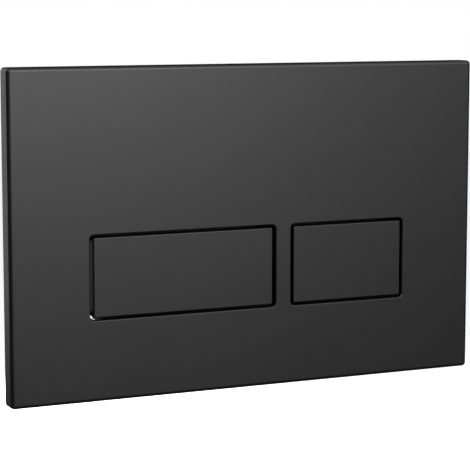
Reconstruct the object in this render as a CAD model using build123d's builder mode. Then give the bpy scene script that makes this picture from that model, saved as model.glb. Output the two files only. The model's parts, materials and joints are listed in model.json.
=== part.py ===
# Dual flush button plate for a concealed cistern, in millimetres.
# X runs to the right as the user sees the plate, Y into the wall and Z up. The origin is the
# middle of the plate on the wall plane. Depths are measured from the wall towards the user,
# so a depth inside the wall is negative.
from build123d import *
from math import cos, pi, sin, sqrt
import os

# Button row
full_width = 94.4
half_width = 60.9
button_height = 38.2
button_gap = 1.5
full_end_gap = 2.0
half_end_gap = 1.5
bar_width = 8.2
button_travel = 5.5

# Cover plate, 250 by 160 with these margins
side_margin = 39.75
bottom_margin = 39.4
top_margin = 79.4
plate_depth = 9.0
plate_wall = 2.0
plate_corner = 2.0
plate_edge = 1.9
window_edge = 0.4
window_collar = 1.6
rib_wall = 1.2
rib_height = 2.0
boss_radius = 3.2

# Snap hooks of the cover, and the rebate they reach into behind the frame's flange
hook_spacing = 120.0
hook_width = 12.0
hook_wall = 1.4
hook_catch = 1.2
hook_tip = 0.3
hook_rebate = 1.5

# Button caps and the clips that hold the sliders in them
cap_depth = 6.0
cap_face = 2.0
cap_wall = 1.6
cap_corner = 0.8
cap_edge = 0.4
clip_wall = 1.2
clip_width = 7.0
clip_inset = 17.0
clip_setback = 1.0
clip_catch = 0.8
clip_tip = 1.0

# Sliders
slider_wall = 1.8
slider_window_height = 14.0
socket_wall = 2.25
socket_length = 8.2
leg_wall = 1.8
leg_width = 6.0
leg_inset = 8.0
leg_margin = 6.0
barb_reach = 1.0
barb_length = 2.4

# Return springs
spring_wire = 0.9
spring_turns = 4.5
spring_steps = 14
spring_pressed = 6.2

# Carrier
carrier_wall = 2.0
carrier_setback = 0.5
flange_margin = 8.0
flange_corner = 4.0
floor_window_height = 18.0
web = 3.5
seat_depth = 0.8
stop_width = 5.0
stop_wall = 3.0
gusset_wall = 1.5
gusset_drop = 7.0
gusset_offset = 14.0
port_height = 34.0
port_reach = 1.5
port_drop = 4.0
drain_width = 4.6
drain_inset = 1.0
drain_lip = 2.0

# Carrier screws
screw_radius = 1.2
screw_length = 6.2
screw_head_radius = 2.8
screw_head_height = 1.8

# Push rods and their nuts
thread_radius = 3.0
thread_spare = 4.0
nut_flats = 10.0
nut_height = 5.0
rod_radius = 4.0
rod_reach = 62.0
rod_tip = 2.0

# Mounting frame
frame_wall = 3.0
frame_flange = 10.0
frame_corner = 5.0
frame_collar = 2.0
frame_collar_depth = 8.0
frame_clearance = 3.0
lug_wall = 3.0
lug_height = 26.0
lug_end = 12.0
lug_rib = 2.0

# Fixing studs and washers
stud_inset = 19.25
stud_radius = 4.0
stud_length = 50.0
stud_flats = 13.0
stud_shoulder = 3.0
stud_spare = 1.0
slot_length = 14.0
washer_size = 17.0
washer_wall = 1.5

# Fits
fit = 0.2
thread_fit = 0.05
slot_fit = 0.3

# Layout of the row on the plate
opening_height = button_height + 2 * button_gap
full_opening = full_width + 2 * full_end_gap
half_opening = half_width + 2 * half_end_gap
row_width = full_opening + bar_width + half_opening
plate_width = row_width + 2 * side_margin
plate_height = bottom_margin + opening_height + top_margin
row_z = bottom_margin + (opening_height - plate_height) / 2
full_x = (full_opening - row_width) / 2
half_x = (row_width - half_opening) / 2
bar_x = full_x + (full_opening + bar_width) / 2
window_corner = cap_corner + button_gap
buttons = {
    "full_flush": (full_x, full_width, full_opening),
    "half_flush": (half_x, half_width, half_opening),
}

# Depths from the wall
face_back = plate_depth - plate_wall
cap_back = plate_depth - cap_depth
slider_back = cap_back + fit
slider_front = slider_back + slider_wall
spring_length = spring_pressed + button_travel
floor_front = slider_back - spring_length + seat_depth
floor_back = floor_front - carrier_wall
stop_front = slider_back - button_travel - fit
flange_front = carrier_setback + carrier_wall
clip_front = slider_back - thread_fit
barb_front = floor_back - fit
leg_end = barb_front - barb_length
socket_back = slider_back - socket_length
nut_back = socket_back - nut_height
shank_front = nut_back - thread_spare
lug_back = -frame_collar_depth
lug_front = lug_back + lug_wall
washer_front = lug_front + washer_wall
stud_front = washer_front + nut_height + stud_spare
shoulder_back = lug_back - stud_shoulder

# Carrier, screws and frame in plan
carrier_width = row_width + 2 * (carrier_wall + flange_margin)
carrier_height = opening_height + 2 * (carrier_wall + flange_margin)
screw_x = row_width / 2 + carrier_wall + flange_margin / 2
screw_rise = opening_height / 2 + carrier_wall + flange_margin / 2
screw_rows = (row_z - screw_rise, row_z + screw_rise)
screw_points = [(x, z) for x in (-screw_x, screw_x) for z in screw_rows]
drain_point = (window_corner + drain_inset + (drain_width - row_width) / 2, row_z - opening_height / 2)
window_width = carrier_width + 2 * frame_clearance
window_height = carrier_height + 2 * (abs(row_z) + frame_clearance)
frame_width = window_width + 2 * (frame_collar + frame_flange)
frame_height = window_height + 2 * (frame_collar + frame_flange)
stud_x = window_width / 2 - stud_inset
stud_z = (row_z + carrier_height / 2 + window_height / 2) / 2

# Radii round each push rod, and how far stops and legs stand above and below it
nut_corner = nut_flats / sqrt(3)
socket_radius = thread_radius + socket_wall
rod_hole = max(nut_corner, socket_radius) + slot_fit
spring_inner = rod_hole + fit
spring_radius = spring_inner + spring_wire / 2
seat_radius = spring_inner + spring_wire + fit
stop_rise = (seat_radius + button_height / 2 - cap_wall) / 2
leg_rise = button_height / 2 - leg_margin


def at_depth(depth):
    """Plane parallel to the wall at a depth, facing the user."""
    return Plane.XZ.offset(depth)


def side_windows(cap_width, height, mode=Mode.ADD):
    """Two openings between a spring seat and the legs, one on each side of the seat."""
    inner = seat_radius + web
    outer = cap_width / 2 - leg_inset - leg_wall / 2 - slot_fit - web
    with GridLocations(inner + outer, 0, 2, 1):
        Rectangle(outer - inner, height, mode=mode)


def coil_points(x, z):
    """Points of a spring's centre line, from the slider to the carrier's floor."""
    height = spring_length - spring_wire - fit
    count = round(spring_turns * spring_steps)
    start = -slider_back + (spring_wire + fit) / 2
    points = []
    for index in range(count + 1):
        angle = 2 * pi * index / spring_steps
        rise = height * index / count
        points.append((x + spring_radius * cos(angle), start + rise, z + spring_radius * sin(angle)))
    return points


def finish(part, name):
    """Label a finished piece and write it as a STEP file."""
    part.label = name
    export_step(part, f"parts/{name}.step")


os.makedirs("parts", exist_ok=True)

# Cover plate: a shallow tray with two collared windows, ribs, bosses and hooks on its back
with BuildPart() as cover:
    with BuildSketch(at_depth(0)):
        RectangleRounded(plate_width, plate_height, plate_corner)
    extrude(amount=plate_depth)
    fillet(cover.faces().sort_by(Axis.Y)[0].edges(), plate_edge)
    with BuildSketch(at_depth(0)):
        Rectangle(plate_width - 2 * plate_wall, plate_height - 2 * plate_wall)
    extrude(amount=face_back, mode=Mode.SUBTRACT)
    # Ribs run from rim to rim until the windows are cut
    with BuildSketch(at_depth(face_back - rib_height)):
        with Locations(*[(x, 0) for x in (-screw_x, full_x, bar_x, half_x, screw_x)]):
            Rectangle(rib_wall, plate_height - 2 * plate_wall)
        with Locations(*[(0, z) for z in screw_rows]):
            Rectangle(plate_width - 2 * plate_wall, rib_wall)
    extrude(amount=rib_height)
    # Collars round the windows, and bosses that the carrier is screwed to
    with BuildSketch(at_depth(flange_front + fit)):
        for button_x, _, opening in buttons.values():
            with Locations((button_x, row_z)):
                Rectangle(opening + 2 * window_collar, opening_height + 2 * window_collar)
    extrude(amount=face_back - flange_front - fit)
    with BuildSketch(at_depth(flange_front)):
        with Locations(*screw_points):
            Circle(boss_radius)
    extrude(amount=face_back - flange_front)
    with BuildSketch(at_depth(0)):
        for button_x, _, opening in buttons.values():
            with Locations((button_x, row_z)):
                RectangleRounded(opening, opening_height, window_corner)
    extrude(amount=plate_depth, mode=Mode.SUBTRACT)
    chamfer(cover.faces().sort_by(Axis.Y)[0].inner_wires().edges(), window_edge)
    # Drain notch in the wide window's collar, over the one in the carrier
    with BuildSketch(at_depth(flange_front + fit)):
        with Locations(drain_point):
            Rectangle(drain_width, 2 * window_collar)
    extrude(amount=face_back - drain_lip - flange_front - fit, mode=Mode.SUBTRACT)
    with BuildSketch(at_depth(flange_front)):
        with Locations(*screw_points):
            Circle(screw_radius + thread_fit)
    extrude(amount=screw_length - carrier_wall + fit, mode=Mode.SUBTRACT)
    # Hooks that snap behind the flange of the mounting frame
    hook_root = frame_height / 2 + fit
    hook_front = hook_rebate - fit
    for hook_x in (-hook_spacing / 2, hook_spacing / 2):
        for side in (-1, 1):
            with BuildSketch(Plane.YZ.offset(hook_x - hook_width / 2)):
                with BuildLine():
                    Polyline(
                        (-face_back, side * hook_root),
                        (-hook_front, side * hook_root),
                        (-hook_front, side * (hook_root - hook_catch)),
                        (-hook_tip, side * hook_root),
                        (-hook_tip, side * (hook_root + hook_wall)),
                        (-face_back, side * (hook_root + hook_wall)),
                        close=True,
                    )
                make_face()
            extrude(amount=hook_width)
finish(cover.part, "cover_plate")

# Carrier: a flange with two wells, and in their floors leg slots, spring seats and end stops
with BuildPart() as carrier:
    with BuildSketch(at_depth(carrier_setback)):
        with Locations((0, row_z)):
            RectangleRounded(carrier_width, carrier_height, flange_corner)
    extrude(amount=carrier_wall)
    with BuildSketch(at_depth(floor_back)):
        for button_x, _, opening in buttons.values():
            with Locations((button_x, row_z)):
                Rectangle(opening + 2 * carrier_wall, opening_height + 2 * carrier_wall)
    extrude(amount=flange_front - floor_back)
    # Gussets between the wells and the flange
    for button_x in (full_x, half_x):
        for gusset_x in (button_x - gusset_offset, button_x + gusset_offset):
            with BuildSketch(Plane.YZ.offset(gusset_x - gusset_wall / 2)):
                with BuildLine():
                    Polyline(
                        (-carrier_setback, row_z - carrier_height / 2),
                        (-carrier_setback, row_z + carrier_height / 2),
                        (gusset_drop, row_z + opening_height / 2 + carrier_wall),
                        (gusset_drop, row_z - opening_height / 2 - carrier_wall),
                        close=True,
                    )
                make_face()
            extrude(amount=gusset_wall)
    with BuildSketch(at_depth(floor_front)):
        for button_x, _, opening in buttons.values():
            with Locations((button_x, row_z)):
                Rectangle(opening, opening_height)
    extrude(amount=flange_front - floor_front, mode=Mode.SUBTRACT)
    with BuildSketch(at_depth(floor_front - seat_depth)):
        with Locations((full_x, row_z), (half_x, row_z)):
            Circle(seat_radius)
    extrude(amount=seat_depth, mode=Mode.SUBTRACT)
    with BuildSketch(at_depth(floor_front)):
        with Locations((full_x, row_z), (half_x, row_z)):
            with GridLocations(0, 2 * stop_rise, 1, 2):
                Rectangle(stop_width, stop_wall)
    extrude(amount=stop_front - floor_front)
    # Openings through the floors and the flange
    with BuildSketch(at_depth(floor_back)):
        for button_x, cap_width, _ in buttons.values():
            with Locations((button_x, row_z)):
                Circle(rod_hole)
                side_windows(cap_width, floor_window_height)
                with GridLocations(cap_width - 2 * leg_inset, 2 * leg_rise, 2, 2):
                    Rectangle(leg_wall + 2 * slot_fit, leg_width + 2 * slot_fit)
    extrude(amount=carrier_wall, mode=Mode.SUBTRACT)
    # A port through the outer end of the wide well, and a drain notch at its lower corner
    with BuildSketch(at_depth(-port_drop)):
        with Locations((-row_width / 2, row_z)):
            Rectangle(2 * (carrier_wall + port_reach), port_height)
    extrude(amount=flange_front + port_drop, mode=Mode.SUBTRACT)
    with BuildSketch(at_depth(floor_back)):
        with Locations(drain_point):
            Rectangle(drain_width, 2 * carrier_wall)
    extrude(amount=flange_front - floor_back, mode=Mode.SUBTRACT)
    with BuildSketch(at_depth(carrier_setback)):
        with Locations(*screw_points):
            Circle(screw_radius + slot_fit)
    extrude(amount=carrier_wall, mode=Mode.SUBTRACT)
finish(carrier.part, "button_carrier")

# Carrier screws: heads behind the flange, cores in the bosses of the cover
with BuildPart() as screws:
    with BuildSketch(at_depth(carrier_setback - screw_head_height)):
        with Locations(*screw_points):
            Circle(screw_head_radius)
    extrude(amount=screw_head_height)
    with BuildSketch(at_depth(carrier_setback)):
        with Locations(*screw_points):
            Circle(screw_radius)
    extrude(amount=screw_length)
finish(screws.part, "carrier_screws")

# Hexagon nut, with its back on the plane of its own origin
with BuildPart() as nut:
    with BuildSketch(Plane.XZ):
        RegularPolygon(nut_corner, 6)
        Circle(thread_radius + thread_fit, mode=Mode.SUBTRACT)
    extrude(amount=nut_height)

# One set of moving pieces for each button
for button, (button_x, cap_width, _) in buttons.items():
    leg_x = cap_width / 2 - leg_inset
    clip_x = cap_width / 2 - clip_inset
    inside_width = cap_width - 2 * cap_wall
    inside_height = button_height - 2 * cap_wall
    clip_outer = inside_height / 2 - clip_setback
    clip_inner = clip_outer - clip_wall

    # Cap: a shallow shell with ribs that back the slider and clips that hold it
    with BuildPart() as cap:
        with BuildSketch(at_depth(cap_back)):
            with Locations((button_x, row_z)):
                RectangleRounded(cap_width, button_height, cap_corner)
        extrude(amount=cap_depth)
        chamfer(cap.faces().sort_by(Axis.Y)[0].edges(), cap_edge)
        with BuildSketch(at_depth(cap_back)):
            with Locations((button_x, row_z)):
                Rectangle(inside_width, inside_height)
        extrude(amount=cap_depth - cap_face, mode=Mode.SUBTRACT)
        with BuildSketch(at_depth(slider_front)):
            with Locations((button_x, row_z)):
                Rectangle(inside_width, rib_wall)
                with GridLocations(leg_x, 0, 3, 1):
                    Rectangle(rib_wall, inside_height)
        extrude(amount=plate_depth - cap_face - slider_front)
        for middle in (button_x - clip_x, button_x + clip_x):
            for side in (-1, 1):
                with BuildSketch(Plane.YZ.offset(middle - clip_width / 2)):
                    with BuildLine():
                        Polyline(
                            (cap_face - plate_depth, row_z + side * clip_outer),
                            (clip_tip - clip_front, row_z + side * clip_outer),
                            (clip_tip - clip_front, row_z + side * clip_inner),
                            (-clip_front, row_z + side * (clip_inner - clip_catch)),
                            (-clip_front, row_z + side * clip_inner),
                            (cap_face - plate_depth, row_z + side * clip_inner),
                            close=True,
                        )
                    make_face()
                extrude(amount=clip_width)
    finish(cap.part, f"{button}_button")

    # Slider: a plate in the cap, notched for the clips, with a rod socket and barbed guide legs
    with BuildPart() as slider:
        with BuildSketch(at_depth(slider_back)):
            with Locations((button_x, row_z)):
                Rectangle(inside_width - 2 * fit, inside_height - 2 * fit)
                side_windows(cap_width, slider_window_height, Mode.SUBTRACT)
                with GridLocations(2 * clip_x, inside_height, 2, 2):
                    notch_height = 2 * (clip_setback + clip_wall + fit)
                    Rectangle(clip_width + 2 * fit, notch_height, mode=Mode.SUBTRACT)
        extrude(amount=slider_wall)
        with BuildSketch(at_depth(socket_back)):
            with Locations((button_x, row_z)):
                Circle(socket_radius)
        extrude(amount=socket_length)
        with BuildSketch(at_depth(socket_back)):
            with Locations((button_x, row_z)):
                Circle(thread_radius + thread_fit)
        extrude(amount=socket_length, mode=Mode.SUBTRACT)
        for side in (-1, 1):
            leg_inner = button_x + side * (leg_x - leg_wall / 2)
            leg_outer = button_x + side * (leg_x + leg_wall / 2)
            for rise in (-leg_rise, leg_rise):
                with BuildSketch(Plane.XY.offset(row_z + rise - leg_width / 2)):
                    with BuildLine():
                        Polyline(
                            (leg_inner, -slider_front),
                            (leg_outer, -slider_front),
                            (leg_outer, -barb_front),
                            (leg_outer + side * barb_reach, -barb_front),
                            (leg_outer, -leg_end),
                            (leg_inner, -leg_end),
                            close=True,
                        )
                    make_face()
                extrude(amount=leg_width)
    finish(slider.part, f"{button}_slider")

    # Return spring, coiled round the socket from short straight lengths of six-sided wire
    with BuildPart() as spring:
        with BuildLine() as coil:
            Polyline(*coil_points(button_x, row_z))
        with BuildSketch(Plane(origin=coil.line @ 0, z_dir=coil.line % 0)):
            RegularPolygon(spring_wire / 2, 6)
        sweep(path=coil.line, transition=Transition.RIGHT)
    finish(spring.part, f"{button}_spring")

    # Push rod: a threaded end in the socket and a plain shank with a tapered tip
    with BuildPart() as rod:
        with BuildSketch(at_depth(-rod_reach)):
            with Locations((button_x, row_z)):
                Circle(rod_radius)
        extrude(amount=rod_reach + shank_front)
        chamfer(rod.faces().sort_by(Axis.Y)[-1].edges(), rod_tip)
        with BuildSketch(at_depth(shank_front)):
            with Locations((button_x, row_z)):
                Circle(thread_radius)
        extrude(amount=slider_back - fit - shank_front)
    finish(rod.part, f"{button}_push_rod")

    # Lock nut against the end of the socket
    with BuildPart() as lock_nut:
        with Locations((button_x, -nut_back, row_z)):
            add(nut.part)
    finish(lock_nut.part, f"{button}_lock_nut")

# Mounting frame: a flange on the wall, a collar in the wall opening and two slotted lugs
with BuildPart() as frame:
    with BuildSketch(at_depth(0)):
        RectangleRounded(frame_width, frame_height, frame_corner)
    extrude(amount=frame_wall)
    with BuildSketch(at_depth(lug_back)):
        Rectangle(window_width + 2 * frame_collar, window_height + 2 * frame_collar)
    extrude(amount=frame_collar_depth)
    with BuildSketch(at_depth(lug_back)):
        Rectangle(window_width, window_height)
    extrude(amount=frame_collar_depth + frame_wall, mode=Mode.SUBTRACT)
    # Rebates behind the flange for the hooks of the cover
    with BuildSketch(at_depth(0)):
        with GridLocations(hook_spacing, frame_height - 2 * hook_catch, 2, 2):
            Rectangle(hook_width + 2 * hook_catch, 2 * hook_catch)
    extrude(amount=hook_rebate, mode=Mode.SUBTRACT)
    for side in (-1, 1):
        lug_inner = side * (stud_x - lug_end)
        lug_outer = side * (window_width + frame_collar) / 2
        with BuildSketch(at_depth(lug_back)):
            with Locations(((lug_inner + lug_outer) / 2, stud_z)):
                Rectangle(abs(lug_outer - lug_inner), lug_height)
            with Locations((side * stud_x, stud_z)):
                SlotOverall(slot_length, 2 * (thread_radius + slot_fit), mode=Mode.SUBTRACT)
        extrude(amount=lug_wall)
        # Sloping ribs along the two edges of the lug
        for rise in (-lug_height / 2, lug_height / 2 - lug_rib):
            with BuildSketch(Plane.XY.offset(stud_z + rise)):
                with BuildLine():
                    Polyline(
                        (lug_outer, -frame_wall),
                        (lug_inner, -lug_front),
                        (lug_inner, -lug_back),
                        (lug_outer, -lug_back),
                        close=True,
                    )
                make_face()
            extrude(amount=lug_rib)
finish(frame.part, "mounting_frame")

# Studs, washers and nuts that hold the frame
for side_name, side in (("left", -1), ("right", 1)):
    with BuildPart() as stud:
        with BuildSketch(at_depth(shoulder_back - stud_length)):
            with Locations((side * stud_x, stud_z)):
                Circle(stud_radius)
        extrude(amount=stud_length)
        with BuildSketch(at_depth(shoulder_back)):
            with Locations((side * stud_x, stud_z)):
                RegularPolygon(stud_flats / sqrt(3), 6)
        extrude(amount=stud_shoulder)
        with BuildSketch(at_depth(lug_back)):
            with Locations((side * stud_x, stud_z)):
                Circle(thread_radius)
        extrude(amount=stud_front - lug_back)
    finish(stud.part, f"fixing_stud_{side_name}")

    with BuildPart() as washer:
        with BuildSketch(at_depth(lug_front)):
            with Locations((side * stud_x, stud_z)):
                Rectangle(washer_size, washer_size)
                Circle(thread_radius + fit, mode=Mode.SUBTRACT)
        extrude(amount=washer_wall)
    finish(washer.part, f"fixing_washer_{side_name}")

    with BuildPart() as fixing_nut:
        with Locations((side * stud_x, -washer_front, stud_z)):
            add(nut.part)
    finish(fixing_nut.part, f"fixing_nut_{side_name}")
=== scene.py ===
"""Dual flush button plate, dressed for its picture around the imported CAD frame."""

import json
import logging
import math
from contextlib import contextmanager
from dataclasses import dataclass
from enum import Enum
from typing import Callable, Iterator, Mapping, Optional, Sequence

import bmesh
import bpy
from mathutils import Euler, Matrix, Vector


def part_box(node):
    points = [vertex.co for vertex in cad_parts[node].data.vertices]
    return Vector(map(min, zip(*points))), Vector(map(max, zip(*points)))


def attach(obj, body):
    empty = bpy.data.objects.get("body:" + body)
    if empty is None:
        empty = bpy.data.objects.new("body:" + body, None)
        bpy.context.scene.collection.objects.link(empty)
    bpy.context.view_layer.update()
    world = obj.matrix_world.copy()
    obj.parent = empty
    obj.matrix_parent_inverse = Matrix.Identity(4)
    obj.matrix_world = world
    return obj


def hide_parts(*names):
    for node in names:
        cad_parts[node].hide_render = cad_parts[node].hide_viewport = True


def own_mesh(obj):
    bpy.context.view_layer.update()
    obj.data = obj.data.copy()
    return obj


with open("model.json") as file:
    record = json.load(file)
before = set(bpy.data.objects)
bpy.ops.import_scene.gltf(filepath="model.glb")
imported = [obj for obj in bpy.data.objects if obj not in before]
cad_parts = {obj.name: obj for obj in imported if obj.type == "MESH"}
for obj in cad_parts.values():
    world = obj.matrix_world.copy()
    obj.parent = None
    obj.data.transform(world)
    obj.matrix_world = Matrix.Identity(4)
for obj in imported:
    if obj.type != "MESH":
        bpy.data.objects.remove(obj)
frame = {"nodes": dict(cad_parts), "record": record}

LOG = logging.getLogger("flush_plate")
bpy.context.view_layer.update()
MM = 0.001
Pair = tuple[float, float]
Point = tuple[float, float, float]
Piece = bpy.types.Object
Socket = bpy.types.NodeSocket
Material = bpy.types.Material


class Slot(Enum):
    """Material slots of the record."""

    BRUSHED_BLACK = "brushed_black"
    BLACK_PLASTIC = "black_plastic"
    GREY_PLASTIC = "grey_plastic"
    NATURAL_PLASTIC = "natural_plastic"
    SPRING_STEEL = "spring_steel"
    ZINC_STEEL = "zinc_steel"


class Body(Enum):
    """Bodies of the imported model."""

    PLATE = "plate"
    FULL = "full_flush"
    HALF = "half_flush"


class End(Enum):
    """Ends of a piece along Y."""

    FRONT = -1
    BACK = 1


# Node trees


class NodeSheet:
    """A node tree that is filled one node at a time."""

    def __init__(self, tree: bpy.types.NodeTree) -> None:
        """Takes a tree in hand and empties it."""
        self.tree = tree
        tree.nodes.clear()

    def add(self, kind: str, inputs: Optional[Mapping] = None, **settings: object) -> bpy.types.Node:
        """Adds a node, sets its properties and feeds its inputs.

        Args:
            kind: Type of the node.
            inputs: Value or socket of each input, by the input's name or number.
            settings: Properties of the node by name.

        Returns:
            The new node.
        """
        node = self.tree.nodes.new(kind)
        for name, value in settings.items():
            setattr(node, name, value)
        for name, value in (inputs or {}).items():
            if isinstance(value, Socket):
                self.tree.links.new(value, node.inputs[name])
            else:
                node.inputs[name].default_value = value
        return node

    def math(self, operation: str, first: object, second: object) -> Socket:
        """Result of a math operation on two sockets or numbers."""
        return self.add("ShaderNodeMath", {0: first, 1: second}, operation=operation).outputs[0]

    def blend(self, first: Socket, second: Socket, share: float) -> Socket:
        """Sum of a share of one value and the rest of another."""
        rest = self.math("MULTIPLY", second, 1 - share)
        return self.math("ADD", self.math("MULTIPLY", first, share), rest)

    def contrast(self, value: Socket, amount: Socket) -> Socket:
        """A value spread about one half by an amount."""
        spread = self.math("MULTIPLY", self.math("SUBTRACT", value, 0.5), amount)
        return self.math("ADD", spread, 0.5)

    def place(self, scale: Point) -> Socket:
        """The piece's own coordinates, stretched by a factor along each axis."""
        where = self.add("ShaderNodeTexCoord").outputs["Object"]
        return self.add("ShaderNodeMapping", {"Vector": where, "Scale": scale}).outputs["Vector"]

    def noise(self, vector: Socket, scale: object, detail: float, roughness: float) -> Socket:
        """Value of a noise texture with a scale in cells per metre, as a number or a socket."""
        inputs = {"Vector": vector, "Scale": scale, "Detail": detail, "Roughness": roughness}
        return self.add("ShaderNodeTexNoise", inputs).outputs[0]


def new_material(name: str) -> tuple[Material, NodeSheet]:
    """Makes a material with an empty tree.

    Args:
        name: Name of the material.

    Returns:
        The material and a sheet to fill its tree on.
    """
    material = bpy.data.materials.new(name)
    material.use_nodes = True
    return material, NodeSheet(material.node_tree)


class Effects:
    """Node groups that more than one finish uses."""

    def __init__(self) -> None:
        """Builds each group once."""
        self.grain = self._grain()
        self.brush = self._brush()
        self.handling = self._handling()

    @staticmethod
    def _group(name: str, inputs: Mapping[str, float],
               outputs: Sequence[str]) -> tuple[NodeSheet, bpy.types.Node]:
        """Makes a group with float sockets.

        Args:
            name: Name of the group.
            inputs: Default of each input.
            outputs: Name of each output.

        Returns:
            A sheet to fill the group on, and the node that gives its inputs.
        """
        tree = bpy.data.node_groups.new(name, "ShaderNodeTree")
        for label, value in inputs.items():
            socket = tree.interface.new_socket(label, in_out="INPUT", socket_type="NodeSocketFloat")
            socket.default_value = value
        for label in outputs:
            tree.interface.new_socket(label, in_out="OUTPUT", socket_type="NodeSocketFloat")
        sheet = NodeSheet(tree)
        return sheet, sheet.add("NodeGroupInput")

    def _grain(self) -> bpy.types.NodeTree:
        """Fine spark-eroded grain of a mould.

        Returns:
            Group with outputs Height and Shade.
        """
        sheet, source = self._group("MouldGrain", {"Cells": 2400.0, "Depth": 1.0}, ("Height", "Shade"))
        where = sheet.place((1, 1, 1))
        fine = sheet.noise(where, scale=source.outputs["Cells"], detail=3.0, roughness=0.5)
        cloudy = sheet.noise(where, scale=55.0, detail=4.0, roughness=0.6)
        height = sheet.math("MULTIPLY", fine, source.outputs["Depth"])
        sheet.add("NodeGroupOutput", {"Height": height, "Shade": cloudy})
        return sheet.tree

    def _brush(self) -> bpy.types.NodeTree:
        """Brush lines along X, which cross an edge and run on over the sides.

        Returns:
            Group with outputs Height and Streak.
        """
        sheet, source = self._group("BrushLines", {"Depth": 1.0, "Contrast": 1.0}, ("Height", "Streak"))
        fine = sheet.noise(sheet.place((9.0, 14.0, 2600.0)), scale=1.0, detail=3.0, roughness=0.65)
        broad = sheet.noise(sheet.place((5.0, 8.0, 620.0)), scale=1.0, detail=2.0, roughness=0.5)
        lines = sheet.blend(fine, broad, share=0.65)
        height = sheet.math("MULTIPLY", lines, source.outputs["Depth"])
        streak = sheet.contrast(lines, source.outputs["Contrast"])
        sheet.add("NodeGroupOutput", {"Height": height, "Streak": streak})
        return sheet.tree

    def _handling(self) -> bpy.types.NodeTree:
        """Soft patches left by wiping and handling.

        Returns:
            Group with output Patch.
        """
        sheet, source = self._group("Handling", {"Amount": 1.0}, ("Patch",))
        cloud = sheet.noise(sheet.place((1.0, 1.0, 1.4)), scale=19.0, detail=5.0, roughness=0.55)
        sheet.add("NodeGroupOutput", {"Patch": sheet.contrast(cloud, source.outputs["Amount"])})
        return sheet.tree


class Texture(Enum):
    """Surface structure that a finish shows."""

    BRUSH = "brush"
    GRAIN = "grain"


@dataclass(frozen=True)
class Finish:
    """One finish: its colours, gloss and surface structure.

    Lengths are in metres, and the grain is in cells to a metre.
    """

    slot: Slot
    texture: Texture
    dark: Point
    light: Point
    gloss_rough: float
    matt_rough: float
    bump: float
    bump_reach: float
    metallic: float = 0.0
    specular: float = 0.5
    grain: float = 2400.0
    translucent: float = 0.0
    glow_reach: Point = (0.004, 0.004, 0.0035)
    shade_range: Pair = (0.3, 0.7)
    shade_share: float = 0.7
    rough_range: Pair = (0.25, 0.75)
    patch_share: float = 0.6

    def material(self, effects: Effects) -> Material:
        """Builds the finish's material.

        Args:
            effects: Node groups to draw on.

        Returns:
            The material, on the piece's own coordinates.
        """
        material, sheet = new_material("finish_" + self.slot.value)
        if self.texture is Texture.BRUSH:
            structure = sheet.add("ShaderNodeGroup", node_tree=effects.brush)
            shade = structure.outputs["Streak"]
        else:
            structure = sheet.add("ShaderNodeGroup", {"Cells": self.grain}, node_tree=effects.grain)
            shade = structure.outputs["Shade"]
        patch = sheet.add("ShaderNodeGroup", node_tree=effects.handling).outputs["Patch"]
        ramp = sheet.add("ShaderNodeMapRange", {
            "Value": shade, "From Min": self.shade_range[0], "From Max": self.shade_range[1]})
        colour = sheet.add("ShaderNodeMix", {
            "Factor": sheet.blend(ramp.outputs[0], patch, self.shade_share),
            "A": (*self.dark, 1.0), "B": (*self.light, 1.0)}, data_type="RGBA")
        rough = sheet.add("ShaderNodeMapRange", {
            "Value": sheet.blend(patch, shade, self.patch_share),
            "From Min": self.rough_range[0], "From Max": self.rough_range[1],
            "To Min": self.gloss_rough, "To Max": self.matt_rough})
        bump = sheet.add("ShaderNodeBump", {
            "Strength": self.bump, "Distance": self.bump_reach, "Height": structure.outputs["Height"]})
        surface = sheet.add("ShaderNodeBsdfPrincipled", {
            "Base Color": colour.outputs["Result"], "Roughness": rough.outputs[0], "Normal": bump.outputs[0],
            "Metallic": self.metallic, "Specular IOR Level": self.specular,
            "Subsurface Weight": self.translucent, "Subsurface Radius": self.glow_reach})
        sheet.add("ShaderNodeOutputMaterial", {"Surface": surface.outputs[0]})
        return material


FINISHES = (
    Finish(Slot.BRUSHED_BLACK, Texture.BRUSH, (0.004, 0.004, 0.004), (0.006, 0.006, 0.006),
           gloss_rough=0.39, matt_rough=0.43, bump=0.06, bump_reach=0.00004),
    Finish(Slot.BLACK_PLASTIC, Texture.GRAIN, (0.010, 0.010, 0.011), (0.017, 0.017, 0.018),
           gloss_rough=0.50, matt_rough=0.60, bump=0.20, bump_reach=0.00005,
           specular=0.35, grain=2600.0),
    Finish(Slot.GREY_PLASTIC, Texture.GRAIN, (0.235, 0.245, 0.255), (0.285, 0.295, 0.305),
           gloss_rough=0.44, matt_rough=0.56, bump=0.20, bump_reach=0.00005,
           grain=2200.0),
    Finish(Slot.NATURAL_PLASTIC, Texture.GRAIN, (0.72, 0.71, 0.66), (0.80, 0.79, 0.75),
           gloss_rough=0.34, matt_rough=0.44, bump=0.12, bump_reach=0.00004,
           grain=1900.0, translucent=0.15),
    Finish(Slot.SPRING_STEEL, Texture.GRAIN, (0.50, 0.50, 0.51), (0.66, 0.66, 0.67),
           gloss_rough=0.22, matt_rough=0.34, bump=0.10, bump_reach=0.00002,
           metallic=1.0, grain=5200.0),
    Finish(Slot.ZINC_STEEL, Texture.GRAIN, (0.56, 0.58, 0.60), (0.72, 0.73, 0.74),
           gloss_rough=0.26, matt_rough=0.42, bump=0.14, bump_reach=0.00003,
           metallic=1.0, grain=3400.0),
)


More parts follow.
